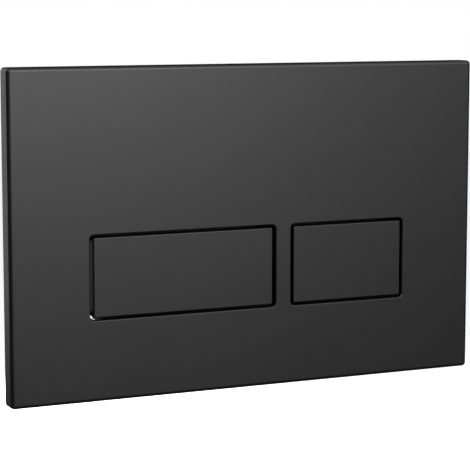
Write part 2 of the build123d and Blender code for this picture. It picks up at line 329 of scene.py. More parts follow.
class Paintbox:
    """All finishes, ready to be put on pieces."""

    def __init__(self) -> None:
        """Mixes every finish once."""
        effects = Effects()
        self.pots = {finish.slot: finish.material(effects) for finish in FINISHES}
        self.slots = {row["node"]: Slot(row["material_slot"]) for row in frame["record"]["subparts"]}

    def dress(self, piece: Piece, slot: Slot) -> None:
        """Puts one finish on a whole piece."""
        piece.data.materials.clear()
        piece.data.materials.append(self.pots[slot])

    def dress_frame(self) -> None:
        """Puts its finish on every CAD node that still shows."""
        for name, node in frame["nodes"].items():
            if not node.hide_render:
                self.dress(node, self.slots[name])
                LOG.info("cad node %s in %s", name, self.slots[name].value)


# Modelling


@dataclass(frozen=True)
class Box:
    """Lowest and highest corner of a block of space, in millimetres."""

    low: Point
    high: Point

    @classmethod
    def of(cls, node: str) -> "Box":
        """Box of a CAD node at rest."""
        low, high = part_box(node)
        return cls(tuple(value / MM for value in low), tuple(value / MM for value in high))

    @property
    def middle(self) -> Point:
        """Middle of the box."""
        return tuple((a + b) / 2 for a, b in zip(self.low, self.high))

    @property
    def axis(self) -> Pair:
        """X and Z of the middle."""
        return self.middle[0], self.middle[2]

    @property
    def span(self) -> Pair:
        """Y of the front and of the back."""
        return self.low[1], self.high[1]

    def grown(self, margin: float, ends: Optional[float] = None) -> "Box":
        """The box made higher by a margin, and wider by the same or another margin at each end.

        Args:
            margin: Margin above and below.
            ends: Margin at the two ends, where it differs.

        Returns:
            The larger box.
        """
        wide = margin if ends is None else ends
        (x0, y0, z0), (x1, y1, z1) = self.low, self.high
        return Box((x0 - wide, y0, z0 - margin), (x1 + wide, y1, z1 + margin))

    def between(self, front: float, back: float) -> "Box":
        """The same outline between two depths."""
        return Box((self.low[0], front, self.low[2]), (self.high[0], back, self.high[2]))


def take(piece: Piece) -> None:
    """Selects one piece alone and makes it active.

    Args:
        piece: The piece.
    """
    bpy.ops.object.select_all(action="DESELECT")
    piece.select_set(True)
    bpy.context.view_layer.objects.active = piece


def pull(shift: Sequence[float]) -> None:
    """Extrudes what is selected in edit mode, by a shift in metres."""
    bpy.ops.mesh.extrude_region_move(TRANSFORM_OT_translate={"value": shift})


@contextmanager
def editing(piece: Piece, kind: str = "FACE") -> Iterator[None]:
    """Edit mode with one piece alone in hand, selected all over.

    Args:
        piece: Mesh to edit.
        kind: What is selected: VERT, EDGE or FACE.
    """
    take(piece)
    bpy.ops.object.mode_set(mode="EDIT")
    bpy.ops.mesh.select_mode(type=kind)
    bpy.ops.mesh.select_all(action="SELECT")
    yield
    bpy.ops.object.mode_set(mode="OBJECT")


class Workpiece:
    """A mesh in the making, shaped step by step. Sizes and places are in millimetres."""

    WELD = 1e-6  # in metres
    FLAT = math.radians(0.5)
    ALONG = 0.99

    def __init__(self, piece: Piece) -> None:
        """Takes a mesh object in hand."""
        self.piece = piece

    # Starting shapes

    @classmethod
    def start(cls, primitive: Callable, **settings: object) -> "Workpiece":
        """Starts from one of Blender's primitives.

        Args:
            primitive: Operator that adds it.
            settings: Size and place, in metres.

        Returns:
            The workpiece.
        """
        bpy.ops.object.select_all(action="DESELECT")
        primitive(**settings)
        return cls(bpy.context.object)

    @classmethod
    def block(cls, box: Box) -> "Workpiece":
        """Adds a block.

        Args:
            box: The space it fills.

        Returns:
            The workpiece.
        """
        work = cls.start(bpy.ops.mesh.primitive_cube_add, size=1.0)
        work.piece.scale = [(b - a) * MM for a, b in zip(box.low, box.high)]
        return work.move(box.middle)

    @classmethod
    def rod(cls, axis: Pair, radius: float, span: Pair, sides: int = 48) -> "Workpiece":
        """Adds a round or many-sided bar along Y.

        Args:
            axis: X and Z of its axis.
            radius: Radius to its corners, one of which is on +X.
            span: Y of its two ends.
            sides: Number of sides.

        Returns:
            The workpiece.
        """
        work = cls.start(bpy.ops.mesh.primitive_cylinder_add, vertices=sides, radius=radius * MM,
                         depth=(span[1] - span[0]) * MM, rotation=(0.0, 0.0, math.pi / 2))
        bpy.ops.object.transform_apply(location=False, rotation=True, scale=False)
        work.piece.rotation_euler = (math.pi / 2, 0.0, 0.0)
        return work.move((axis[0], (span[0] + span[1]) / 2, axis[1]))

    @classmethod
    def trace(cls, points: Sequence[Point]) -> "Workpiece":
        """Draws a line through points by extruding a single vertex.

        Args:
            points: Corners of the line.

        Returns:
            The workpiece.
        """
        work = cls.start(bpy.ops.mesh.primitive_plane_add, size=MM)
        with editing(work.piece, "VERT"):
            bpy.ops.mesh.merge(type="CENTER")
            bpy.ops.transform.translate(value=Vector(points[0]) * MM)
            for start, end in zip(points, points[1:]):
                pull((Vector(end) - Vector(start)) * MM)
        return work

    @classmethod
    def lathe(cls, axis: Pair, profile: Sequence[Pair], steps: int = 48) -> "Workpiece":
        """Turns a profile round an axis along Y.

        Args:
            axis: X and Z of the axis.
            profile: Radius and Y of each corner, from the axis out and back to it.
            steps: Faces round the axis.

        Returns:
            The workpiece.
        """
        work = cls.trace([(axis[0] + radius, y, axis[1]) for radius, y in profile])
        centre = (axis[0] * MM, 0.0, axis[1] * MM)
        with editing(work.piece, "VERT"):
            bpy.ops.mesh.spin(steps=steps, angle=2 * math.pi, center=centre, axis=(0, 1, 0))
        return work.weld()

    @classmethod
    def prism(cls, outline: Sequence[Pair], span: Pair) -> "Workpiece":
        """Extrudes an outline in Y and Z along X.

        Args:
            outline: Y and Z of each corner.
            span: X of the two ends.

        Returns:
            The workpiece.
        """
        work = cls.trace([(span[0], y, z) for y, z in outline])
        with editing(work.piece, "VERT"):
            bpy.ops.mesh.edge_face_add()
            pull(((span[1] - span[0]) * MM, 0, 0))
        return work.weld()

    @classmethod
    def thread(cls, axis: Pair, span: Pair, radius: float, pitch: float, depth: float,
               steps: int = 32) -> "Workpiece":
        """Winds a right-hand screw thread round a solid core along Y, with chamfered ends.

        Args:
            axis: X and Z of the axis.
            span: Y of the two ends.
            radius: Radius to the crests.
            pitch: Advance of one turn.
            depth: Height of the ridge.
            steps: Faces round one turn.

        Returns:
            The workpiece.
        """
        root = radius - depth
        # Radius, and share of the pitch, at each corner of the ridge
        ridge = ((root, 0.0), (root, 0.25), (radius, 0.56), (radius, 0.69), (root, 1.0))
        work = cls.trace([(reach, share * pitch, 0.0) for reach, share in ridge])
        spare_turns = 3
        turns = math.ceil((span[1] - span[0]) / pitch) + spare_turns
        work.apply("SCREW", axis="Y", angle=2 * math.pi, screw_offset=pitch * MM, iterations=turns,
                   steps=steps, render_steps=steps)
        with editing(work.piece, "EDGE"):
            bpy.ops.mesh.remove_doubles(threshold=cls.WELD)
            bpy.ops.mesh.select_all(action="DESELECT")
            bpy.ops.mesh.select_non_manifold()
            bpy.ops.mesh.fill_holes(sides=0)
        work.weld().move((axis[0], span[0] - spare_turns / 2 * pitch, axis[1]))
        # The envelope takes off the spare turns and chamfers the ends
        chamfer, clear = 1.2 * depth, 0.1
        inner, outer = radius - chamfer, radius + clear
        envelope = ((0.0, span[0]), (inner, span[0]), (outer, span[0] + outer - inner),
                    (outer, span[1] - outer + inner), (inner, span[1]), (0.0, span[1]))
        return work.keep(cls.lathe(axis, envelope))

    @classmethod
    def coil(cls, axis: Pair, mean_radius: float, wire: float, heights: Sequence[float],
             steps: int, sides: int = 12) -> "Workpiece":
        """Winds round wire into a spring by extruding its section step by step.

        Args:
            axis: X and Z of the spring's axis.
            mean_radius: Radius to the middle of the wire.
            wire: Wire diameter.
            heights: Y of the wire's middle at each step.
            steps: Steps in one turn.
            sides: Faces round the wire.

        Returns:
            The workpiece.
        """
        work = cls.start(bpy.ops.mesh.primitive_circle_add, vertices=sides, radius=wire / 2 * MM,
                         fill_type="NGON")
        work.move((axis[0] + mean_radius, heights[0], axis[1]))
        turn = {"value": 2 * math.pi / steps, "orient_axis": "Y", "orient_type": "GLOBAL",
                "center_override": (axis[0] * MM, 0.0, axis[1] * MM)}
        with editing(work.piece):
            for start, end in zip(heights, heights[1:]):
                pull((0, (end - start) * MM, 0))
                bpy.ops.transform.rotate(**turn)
        return work.weld()

    @classmethod
    def moulding(cls, node: str) -> "Workpiece":
        """Takes a copy of a CAD node, with its loose triangles joined into whole faces.

        Args:
            node: The CAD node.

        Returns:
            The workpiece.
        """
        work = cls(bpy.data.objects.new(node, frame["nodes"][node].data.copy()))
        bpy.context.scene.collection.objects.link(work.piece)
        with editing(work.piece):
            bpy.ops.mesh.customdata_custom_splitnormals_clear()
            bpy.ops.mesh.remove_doubles(threshold=cls.WELD)
            bpy.ops.mesh.dissolve_limited(angle_limit=cls.FLAT)
        return work.weld()

    # Shaping

    def move(self, shift: Point) -> "Workpiece":
        """Shifts the piece and puts its place, turn and size into its mesh.

        Args:
            shift: Way to go along each axis.

        Returns:
            The workpiece.
        """
        take(self.piece)
        self.piece.location = [value * MM for value in shift]
        bpy.ops.object.transform_apply(location=True, rotation=True, scale=True)
        return self

    def copy(self, shift: Point) -> "Workpiece":
        """Copies the piece, with its own mesh, to another place.

        Args:
            shift: Way to go along each axis.

        Returns:
            The copy.
        """
        piece = self.piece.copy()
        piece.data = self.piece.data.copy()
        bpy.context.scene.collection.objects.link(piece)
        return Workpiece(piece).move(shift)

    def apply(self, kind: str, **settings: object) -> "Workpiece":
        """Puts a modifier on the piece and applies it.

        Args:
            kind: Type of the modifier.
            settings: Properties of the modifier by name.

        Returns:
            The workpiece.
        """
        modifier = self.piece.modifiers.new(kind.lower(), kind)
        for name, value in settings.items():
            setattr(modifier, name, value)
        take(self.piece)
        bpy.ops.object.modifier_apply(modifier=modifier.name)
        return self

    def weld(self) -> "Workpiece":
        """Joins points that coincide and turns all faces outwards.

        Returns:
            The workpiece.
        """
        with editing(self.piece):
            bpy.ops.mesh.remove_doubles(threshold=self.WELD)
            bpy.ops.mesh.dissolve_degenerate(threshold=self.WELD)
            bpy.ops.mesh.select_all(action="SELECT")
            bpy.ops.mesh.normals_make_consistent(inside=False)
        return self

    def pick_end(self, end: End) -> None:
        """Selects the face at one end in edit mode.

        Args:
            end: The end.
        """
        mesh = bmesh.from_edit_mesh(self.piece.data)
        bpy.ops.mesh.select_all(action="DESELECT")
        reach = max(end.value * vertex.co.y for vertex in mesh.verts)
        for face in mesh.faces:
            face.select_set(all(end.value * vertex.co.y > reach - self.WELD for vertex in face.verts))
        bmesh.update_edit_mesh(self.piece.data)

    def round_columns(self, radius: float, segments: int = 8) -> "Workpiece":
        """Rounds the edges that run along Y.

        Args:
            radius: Radius of the rounding.
            segments: Faces across it.

        Returns:
            The workpiece.
        """
        with editing(self.piece, "EDGE"):
            mesh = bmesh.from_edit_mesh(self.piece.data)
            bpy.ops.mesh.select_all(action="DESELECT")
            for edge in mesh.edges:
                start, end = edge.verts
                edge.select_set(abs((start.co - end.co).normalized().y) > self.ALONG)
            bmesh.update_edit_mesh(self.piece.data)
            bpy.ops.mesh.bevel(offset=radius * MM, segments=segments, affect="EDGES")
        return self

    def round_front(self, radius: float, segments: int = 6) -> "Workpiece":
        """Rounds the rim of the front end.

        Args:
            radius: Radius of the rounding.
            segments: Faces across it.

        Returns:
            The workpiece.
        """
        with editing(self.piece):
            self.pick_end(End.FRONT)
            bpy.ops.mesh.region_to_loop()
            bpy.ops.mesh.bevel(offset=radius * MM, segments=segments, affect="EDGES")
        return self

    def neck_back(self, radius: float, length: float, segments: int = 6) -> "Workpiece":
        """Narrows the back end along a quarter circle and draws it out, to cut a hole with a rounded rim.

        Args:
            radius: Radius of the quarter circle.
            length: Length of the narrow part.
            segments: Faces along the quarter circle.

        Returns:
            The workpiece.
        """
        angles = [math.pi / 2 * index / segments for index in range(segments + 1)]
        with editing(self.piece):
            self.pick_end(End.BACK)
            for start, end in zip(angles, angles[1:]):
                bpy.ops.mesh.inset(thickness=radius * MM * (math.sin(end) - math.sin(start)),
                                   depth=radius * MM * (math.cos(start) - math.cos(end)))
            pull((0, length * MM, 0))
        return self

    def taper_front(self, share: float) -> "Workpiece":
        """Scales the front end about its middle.

        Args:
            share: Share of its size that is left.

        Returns:
            The workpiece.
        """
        with editing(self.piece):
            self.pick_end(End.FRONT)
            bpy.ops.transform.resize(value=(share, 1.0, share))
        return self

    def _combine(self, operation: str, *others: "Workpiece") -> "Workpiece":
        """Applies a boolean with each of some pieces, and removes them.

        Args:
            operation: Type of the boolean.
            others: The pieces.

        Returns:
            The workpiece.
        """
        for other in others:
            self.apply("BOOLEAN", operation=operation, solver="EXACT", object=other.piece)
            bpy.data.meshes.remove(other.piece.data)
        return self

    def unite(self, *others: "Workpiece") -> "Workpiece":
        """Fuses other pieces to this one."""
        return self._combine("UNION", *others)

    def cut(self, *others: "Workpiece") -> "Workpiece":
        """Cuts other pieces out of this one."""
        return self._combine("DIFFERENCE", *others)

    def keep(self, other: "Workpiece") -> "Workpiece":
        """Keeps only what lies inside another piece."""
        return self._combine("INTERSECT", other)

    def soften(self, width: float, segments: int = 2, angle: float = 40.0) -> "Workpiece":
        """Rounds by a small width every edge that turns by more than an angle in degrees."""
        return self.apply("BEVEL", width=width * MM, segments=segments, limit_method="ANGLE",
                          angle_limit=math.radians(angle), miter_outer="MITER_ARC")

    def finish(self, angle: float) -> Piece:
        """Welds the mesh and shades it: flat faces stay flat and roundings are smooth.

        Args:
            angle: Edges that turn by more than this many degrees stay sharp.

        Returns:
            The finished object.
        """
        self.weld()
        bpy.ops.object.shade_smooth_by_angle(angle=math.radians(angle))
        return self.apply("WEIGHTED_NORMAL", keep_sharp=True).piece


def hex_bar(axis: Pair, span: Pair, flat: float) -> Workpiece:
    """Hexagon with turned ends, a corner on +X.

    Args:
        axis: X and Z of its axis.
        span: Y of its ends.
        flat: Width across the flats.

    Returns:
        The piece.
    """
    corner, slope = flat / math.sqrt(3), math.tan(math.radians(30.0))
    face_share, clear, spare = 0.475, 0.1, 0.2
    bar = Workpiece.rod(axis, corner, span, sides=6)
    inner, outer = face_share * flat, corner + clear
    rise, tip = (outer - inner) * slope, inner - spare / slope
    envelope = ((0.0, span[0] - spare), (tip, span[0] - spare), (outer, span[0] + rise),
                (outer, span[1] - rise), (tip, span[1] + spare), (0.0, span[1] + spare))
    return bar.keep(Workpiece.lathe(axis, envelope, steps=96))


def hex_nut(axis: Pair, span: Pair, flat: float, bore: float) -> Workpiece:
    """Hexagon nut with countersunk bore.

    Args:
        axis: X and Z of its axis.
        span: Y of its ends.
        flat: Width across the flats.
        bore: Radius of the bore.

    Returns:
        The nut.
    """
    sink, spare = 0.45, 0.3
    mouth = bore + sink + spare
    drill = ((0.0, span[0] - spare), (mouth, span[0] - spare), (bore, span[0] + sink),
             (bore, span[1] - sink), (mouth, span[1] + spare), (0.0, span[1] + spare))
    return hex_bar(axis, span, flat).cut(Workpiece.lathe(axis, drill))


# Sub-assemblies


@dataclass
class Assembly:
    """What all sub-assemblies share: the finishes, and the body that their pieces move with.

    Sizes and places are in millimetres, and angles in degrees.
    """

    paintbox: Paintbox
    body: Body = Body.PLATE
    smooth: float = 35.0

    def fit(self, work: Workpiece, name: str, node: str) -> Piece:
        """Finishes a piece, dresses it and sets it in the place of its CAD node.

        Args:
            work: The shaped piece.
            name: Name of the piece.
            node: CAD node that it stands for.

        Returns:
            The finished object.
        """
        piece = work.finish(self.smooth)
        piece.name = name
        slot, body = self.paintbox.slots[node], self.body
        self.paintbox.dress(piece, slot)
        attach(piece, body.value)
        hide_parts(node)
        LOG.info("%s in %s, %d faces", piece.name, slot.value, len(piece.data.polygons))
        return piece


@dataclass
class CoverPlate(Assembly):
    """The moulded cover: face, rim, window collars, ribs, screw bosses and snap hooks."""

    corner: float = 2.0
    edge_round: float = 1.9
    wall: float = 2.0
    button_gap: float = 1.5
    end_gaps: tuple[tuple[Body, float], ...] = ((Body.FULL, 2.0), (Body.HALF, 1.5))
    window_corner: float = 2.3
    window_round: float = 0.5
    collar: float = 1.6
    collar_back: float = -2.7
    rib: float = 1.2
    rib_back: float = -5.0
    boss_radius: float = 3.2
    boss_back: float = -2.5
    pilot_radius: float = 1.25
    pilot_front: float = -6.9
    screw_head_radius: float = 2.8
    drain_width: float = 4.6
    drain_inset: float = 1.0
    drain_front: float = -5.0
    hook_places: Pair = (-60.0, 60.0)
    hook_width: float = 12.0
    hook_fit: float = 0.2
    hook_thick: float = 1.4
    hook_catch: float = 1.2
    hook_catch_front: float = -1.3
    hook_back: float = -0.3
    plug: float = 1.0
    spare: float = 0.01
    bury: float = 0.6

    def __post_init__(self) -> None:
        """Reads the outlines that the frame gives."""
        self.box = Box.of("cover_plate")
        self.front = self.box.low[1]
        self.sheet_back = self.front + self.wall
        self.root = self.sheet_back - self.bury
        self.windows = [Box.of(body.value + "_button").grown(self.button_gap, gap)
                        for body, gap in self.end_gaps]
        screws = Box.of("carrier_screws").grown(-self.screw_head_radius)
        self.boss_x = (screws.low[0], screws.high[0])
        self.boss_z = (screws.low[2], screws.high[2])

    def shell(self) -> Workpiece:
        """Face and rim as one tray.

        Returns:
            The tray.
        """
        tray = Workpiece.block(self.box).round_columns(self.corner)
        tray.round_front(self.edge_round, segments=8)
        inside = self.box.grown(-self.wall).between(self.sheet_back, self.bury)
        return tray.cut(Workpiece.block(inside))

    def ribs(self) -> list[Workpiece]:
        """Ribs through the bosses and behind the middle of each window and of the bar between them.

        Returns:
            The ribs.
        """
        inside = self.box.grown(self.bury - self.wall).between(self.root, self.rib_back)
        bar = (self.windows[0].high[0] + self.windows[1].low[0]) / 2
        upright = [*self.boss_x, bar, *(window.middle[0] for window in self.windows)]
        half = self.rib / 2
        (x0, y0, z0), (x1, y1, z1) = inside.low, inside.high
        boxes = [Box((x - half, y0, z0), (x + half, y1, z1)) for x in upright]
        boxes += [Box((x0, y0, z - half), (x1, y1, z + half)) for z in self.boss_z]
        return [Workpiece.block(box) for box in boxes]

    def collars(self) -> list[Workpiece]:
        """Collars that stiffen the windows, still closed."""
        boxes = [window.grown(self.collar).between(self.root, self.collar_back) for window in self.windows]
        return [Workpiece.block(box).round_columns(self.window_corner + self.collar) for box in boxes]

    def openings(self) -> list[Workpiece]:
        """Cutters of the windows, with a rounded rim at the face.

        Returns:
            The cutters.
        """
        flare = self.window_round + self.spare
        cutters = []
        for window in self.windows:
            room = window.grown(flare).between(self.front - self.plug, self.front - self.spare)
            plug = Workpiece.block(room).round_columns(self.window_corner + flare)
            cutters.append(plug.neck_back(flare, self.wall - self.front))
        return cutters

    def bosses(self) -> tuple[list[Workpiece], list[Workpiece]]:
        """Screw bosses and their pilot holes.

        Returns:
            The bosses and the cutters of their holes.
        """
        places = [(x, z) for x in self.boss_x for z in self.boss_z]
        deep, bore = (self.root, self.boss_back), (self.pilot_front, self.bury)
        studs = [Workpiece.rod(place, self.boss_radius, deep) for place in places]
        return studs, [Workpiece.rod(place, self.pilot_radius, bore, sides=32) for place in places]

    def drain(self) -> Workpiece:
        """Cutter of the drain notch at the lower left corner of the wide window.

        Returns:
            The cutter.
        """
        left, _, bottom = self.windows[0].low
        start = left + self.window_corner + self.drain_inset
        return Workpiece.block(Box((start, self.drain_front, bottom - 2 * self.collar),
                                   (start + self.drain_width, self.bury, bottom + self.collar)))

    def hooks(self) -> list[Workpiece]:
        """Snap hooks along the upper and lower edge.

        Returns:
            The hooks.
        """
        inner = Box.of("mounting_frame").high[2] + self.hook_fit
        outer, catch = inner + self.hook_thick, self.hook_catch_front
        outline = ((self.root, inner), (catch, inner), (catch, inner - self.hook_catch),
                   (self.hook_back, inner), (self.hook_back, outer), (self.root, outer))
        half = self.hook_width / 2
        return [Workpiece.prism([(y, side * z) for y, z in outline], (x - half, x + half))
                for x in self.hook_places for side in (-1, 1)]

    def build(self) -> None:
        """Moulds the cover and puts it in place."""
        cover = self.shell().unite(*self.ribs(), *self.collars())
        studs, bores = self.bosses()
        cover.unite(*studs).cut(*self.openings(), *bores, self.drain()).unite(*self.hooks())
        self.fit(cover, "cover_moulding", "cover_plate")


@dataclass
class FlushButton(Assembly):
    """One button: its cap, slider, push rod and lock nut."""

    corner: float = 0.8
    edge_round: float = 0.45
    skirt: float = 1.6
    sheet: float = 2.0
    skirt_back: float = -3.0
    rib: float = 1.2
    rib_back: float = -5.0
    leg_inset: float = 8.0
    clip_inset: float = 17.0
    clip_width: float = 7.0
    clip_setback: float = 1.0
    clip_thick: float = 1.2
    clip_hook: float = 0.8
    clip_hook_front: float = -3.15
    slider_soft: float = 0.2
    rod_thread: float = 3.0
    rod_pitch: float = 1.0
    rod_shoulder: float = 14.0
    rod_ease: float = 0.4
    rod_nose: float = 2.0
    rod_soft: float = 0.35
    rod_soft_angle: float = 25.0
    rod_bury: float = 2.0
    thread_share: float = 0.58
    nut_flat: float = 10.0
    nut_bore: float = 3.05
    bury: float = 0.6

    def __post_init__(self) -> None:
        """Reads the button's outline from the frame."""
        self.name = self.body.value
        self.box = Box.of(self.name + "_button")
        self.axis = self.box.axis
        self.root = self.box.low[1] + self.sheet - self.bury

    def ribs(self) -> list[Workpiece]:
        """Ribs of the cap: one along it, and three across at its middle and the slider's legs.

        Returns:
            The ribs.
        """
        room = self.box.grown(-self.skirt).grown(self.bury)
        (x0, _, z0), (x1, _, z1) = room.low, room.high
        (x, z), half = self.axis, self.rib / 2
        leg = self.box.high[0] - x - self.leg_inset
        boxes = [Box((x0, self.root, z - half), (x1, self.rib_back, z + half))]
        boxes += [Box((x + shift - half, self.root, z0), (x + shift + half, self.rib_back, z1))
                  for shift in (-leg, 0.0, leg)]
        return [Workpiece.block(box) for box in boxes]

    def clips(self) -> list[Workpiece]:
        """Hooked clips of the cap that hold the slider.

        Returns:
            The clips.
        """
        x, z = self.axis
        place = self.box.high[0] - x - self.clip_inset
        outer, tip = self.box.high[2] - z - self.skirt - self.clip_setback, self.box.high[1]
        inner, hook = outer - self.clip_thick, self.clip_hook_front
        outline = ((self.root, outer), (tip, outer), (tip, inner), (hook, inner - self.clip_hook),
                   (hook, inner), (self.root, inner))
        clips = []
        for shift in (-place, place):
            ends = (x + shift - self.clip_width / 2, x + shift + self.clip_width / 2)
            clips += [Workpiece.prism([(y, z + side * reach) for y, reach in outline], ends)
                      for side in (-1, 1)]
        return clips

    def cap(self) -> Workpiece:
        """Shallow cap with ribs and clips for the slider.

        Returns:
            The cap.
        """
        front = self.box.low[1]
        cap = Workpiece.block(self.box.between(front, self.skirt_back))
        cap.round_columns(self.corner, segments=6).round_front(self.edge_round)
        inside = self.box.grown(-self.skirt).between(front + self.sheet, self.bury)
        return cap.cut(Workpiece.block(inside)).unite(*self.ribs(), *self.clips())

    def slider(self) -> Workpiece:
        """Pusher with its legs and the socket of the rod."""
        return Workpiece.moulding(self.name + "_slider").soften(self.slider_soft)

    def push_rod(self) -> Workpiece:
        """Rod with a screwed front end and a chamfered nose.

        Returns:
            The rod.
        """
        box = Box.of(self.name + "_push_rod")
        front, back = box.span
        shoulder, radius, centre = self.rod_shoulder, box.high[0] - self.axis[0], (0.0, 0.0)
        profile = ((0.0, shoulder), (radius - self.rod_ease, shoulder), (radius, shoulder + self.rod_ease),
                   (radius, back - self.rod_nose), (radius - self.rod_nose, back), (0.0, back))
        shank = Workpiece.lathe(centre, profile)
        shank.soften(self.rod_soft, segments=3, angle=self.rod_soft_angle)
        screw = Workpiece.thread(centre, (front, shoulder + self.rod_bury), self.rod_thread,
                                 self.rod_pitch, self.thread_share * self.rod_pitch)
        return shank.unite(screw).move((self.axis[0], 0.0, self.axis[1]))

    def lock_nut(self) -> Workpiece:
        """Nut that locks the rod in its socket."""
        span = Box.of(self.name + "_lock_nut").span
        return hex_nut(self.axis, span, self.nut_flat, self.nut_bore)

    def build(self) -> None:
        """Makes the button's pieces and puts them in place."""
        for name, node, make in (("_cap", "_button", self.cap), ("_pusher", "_slider", self.slider),
                                 ("_rod", "_push_rod", self.push_rod), ("_nut", "_lock_nut", self.lock_nut)):
            self.fit(make(), self.name + name, self.name + node)


@dataclass
class ReturnSpring(Assembly):
    """The spring that brings a button back."""

    smooth: float = 60.0
    button: Body = Body.FULL
    wire: float = 0.9
    turns: float = 4.5
    dead_turns: float = 0.75
    dead_pitch: float = 0.95
    change_turns: float = 0.25
    turn_steps: int = 28
    seat: float = 8.5
    travel: float = 5.5

    def __post_init__(self) -> None:
        """Reads the spring's outline and the button's axis from the frame."""
        self.name = self.button.value
        self.box = Box.of(self.name + "_spring")
        self.axis = Box.of(self.name + "_button").axis

    def heights(self) -> list[float]:
        """Heights of the wire's middle, with closed end turns.

        Returns:
            One height for each step.
        """
        low, high = self.box.low[1] + self.wire / 2, self.box.high[1] - self.wire / 2
        steps = round(self.turns * self.turn_steps)
        dead = self.dead_turns * self.turn_steps
        leads = []
        for index in range(steps):
            reach = min(index, steps - 1 - index) - dead
            share = min(1.0, max(0.0, reach / (self.change_turns * self.turn_steps) + 0.5))
            leads.append(share * share * (3 - 2 * share))
        slow = self.dead_pitch / self.turn_steps
        quick = (high - low - slow * steps) / sum(leads)
        heights = [low]
        for lead in leads:
            heights.append(heights[-1] + slow + quick * lead)
        return heights

    def coil(self) -> Workpiece:
        """The spring at its fitted length."""
        mean = (self.box.high[0] - self.box.low[0] - self.wire) / 2
        return Workpiece.coil(self.axis, mean, self.wire, self.heights(), self.turn_steps)

    def build(self) -> None:
        """Makes the spring and puts it in place."""
        spring = self.fit(self.coil(), self.name + "_return_spring", self.name + "_spring")
        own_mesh(spring)


@dataclass
class Carrier(Assembly):
    """The tray that guides the buttons, and the screws that hold it to the cover."""

    tray_soft: float = 0.2
    head_radius: float = 2.8
    head_seat: float = -0.5
    head_round: float = 0.9
    crown_steps: int = 6
    screw_radius: float = 1.45
    screw_pitch: float = 1.0
    screw_depth: float = 0.4
    screw_steps: int = 24
    screw_bury: float = 0.5
    recess_span: float = 3.0
    recess_width: float = 0.75
    recess_depth: float = 1.2
    recess_taper: float = 0.55
    recess_over: float = 0.3

    def screw(self, axis: Pair) -> Workpiece:
        """One self-tapping screw with a pan head and a cross recess.

        Args:
            axis: X and Z of its axis.

        Returns:
            The screw.
        """
        (x, z), (tip, top) = axis, Box.of("carrier_screws").span
        bend = [math.pi / 2 * index / self.crown_steps for index in range(self.crown_steps + 1)]
        crown = [(self.head_radius - self.head_round * (1 - math.cos(angle)),
                  top - self.head_round * (1 - math.sin(angle))) for angle in bend]
        profile = [(0.0, self.head_seat), (self.head_radius, self.head_seat), *crown, (0.0, top)]
        head = Workpiece.lathe(axis, profile)
        long, short = self.recess_span / 2, self.recess_width / 2
        for wide, high in ((long, short), (short, long)):
            wing = Workpiece.block(Box((x - wide, top - self.recess_depth, z - high),
                                       (x + wide, top + self.recess_over, z + high)))
            head.cut(wing.taper_front(self.recess_taper))
        core = Workpiece.thread(axis, (tip, self.head_seat + self.screw_bury),
                                self.screw_radius, self.screw_pitch, self.screw_depth, self.screw_steps)
        # Thin faces where the thread runs out would otherwise share a diagonal
        return head.unite(core).apply("TRIANGULATE")

    def build(self) -> None:
        """Makes the tray and its screws and puts them in place."""
        tray = Workpiece.moulding("button_carrier").soften(self.tray_soft)
        self.fit(tray, "carrier_tray", "button_carrier")
        places = Box.of("carrier_screws").grown(-self.head_radius)
        corners = [(x, z) for x in (places.low[0], places.high[0]) for z in (places.low[2], places.high[2])]
        screws = [self.screw(corners[0])]
        screws += [screws[0].copy((x - corners[0][0], 0.0, z - corners[0][1])) for x, z in corners[1:]]
        for number, screw in enumerate(screws, 1):
            self.fit(screw, "carrier_screw_%d" % number, "carrier_screws")


@dataclass
class WallFixing(Assembly):
    """The frame on the wall, with its two studs, washers and nuts."""

    frame_soft: float = 0.25
    front_radius: float = 3.0
    front_pitch: float = 1.0
    hex_span: Pair = (8.0, 11.0)
    hex_flat: float = 13.0
    back_radius: float = 4.0
    back_pitch: float = 1.25
    thread_share: float = 0.58
    thread_bury: float = 1.0
    nut_flat: float = 10.0
    nut_bore: float = 3.05
    washer_corner: float = 1.0
    washer_bore: float = 3.2
    washer_soft: float = 0.18
    drill_over: float = 1.0

    def stud(self, axis: Pair) -> Workpiece:
        """Stud with a hexagon between a fine front thread and a coarse back thread.

        Args:
            axis: X and Z of its axis.

        Returns:
            The stud.
        """
        (front, back), centre = Box.of("fixing_stud_left").span, (0.0, 0.0)
        stud = hex_bar(centre, self.hex_span, self.hex_flat)
        fine = Workpiece.thread(centre, (front, self.hex_span[0] + self.thread_bury),
                                self.front_radius, self.front_pitch, self.thread_share * self.front_pitch)
        coarse = Workpiece.thread(centre, (self.hex_span[1] - self.thread_bury, back),
                                  self.back_radius, self.back_pitch, self.thread_share * self.back_pitch)
        return stud.unite(fine, coarse).move((axis[0], 0.0, axis[1]))

    def washer(self, axis: Pair) -> Workpiece:
        """Square washer with eased edges.

        Args:
            axis: X and Z of its hole.

        Returns:
            The washer.
        """
        box = Box.of("fixing_washer_left")
        plate = Workpiece.block(box).round_columns(self.washer_corner)
        bore = (box.low[1] - self.drill_over, box.high[1] + self.drill_over)
        return plate.cut(Workpiece.rod(axis, self.washer_bore, bore)).soften(self.washer_soft)

    def nut(self, axis: Pair) -> Workpiece:
        """Nut that clamps the washer."""
        return hex_nut(axis, Box.of("fixing_nut_left").span, self.nut_flat, self.nut_bore)

    def build(self) -> None:
        """Makes the frame and its fixings and puts them in place."""
        wall_frame = Workpiece.moulding("mounting_frame").soften(self.frame_soft)
        self.fit(wall_frame, "wall_frame", "mounting_frame")
        left, right = Box.of("fixing_stud_left"), Box.of("fixing_stud_right")
        shift = (right.middle[0] - left.middle[0], 0.0, right.middle[2] - left.middle[2])
        for kind, make in {"stud": self.stud, "washer": self.washer, "nut": self.nut}.items():
            work = make(left.axis)
            twin = work.copy(shift)
            for piece, side in ((work, "_left"), (twin, "_right")):
                self.fit(piece, kind + side, "fixing_" + kind + side)


# Studio


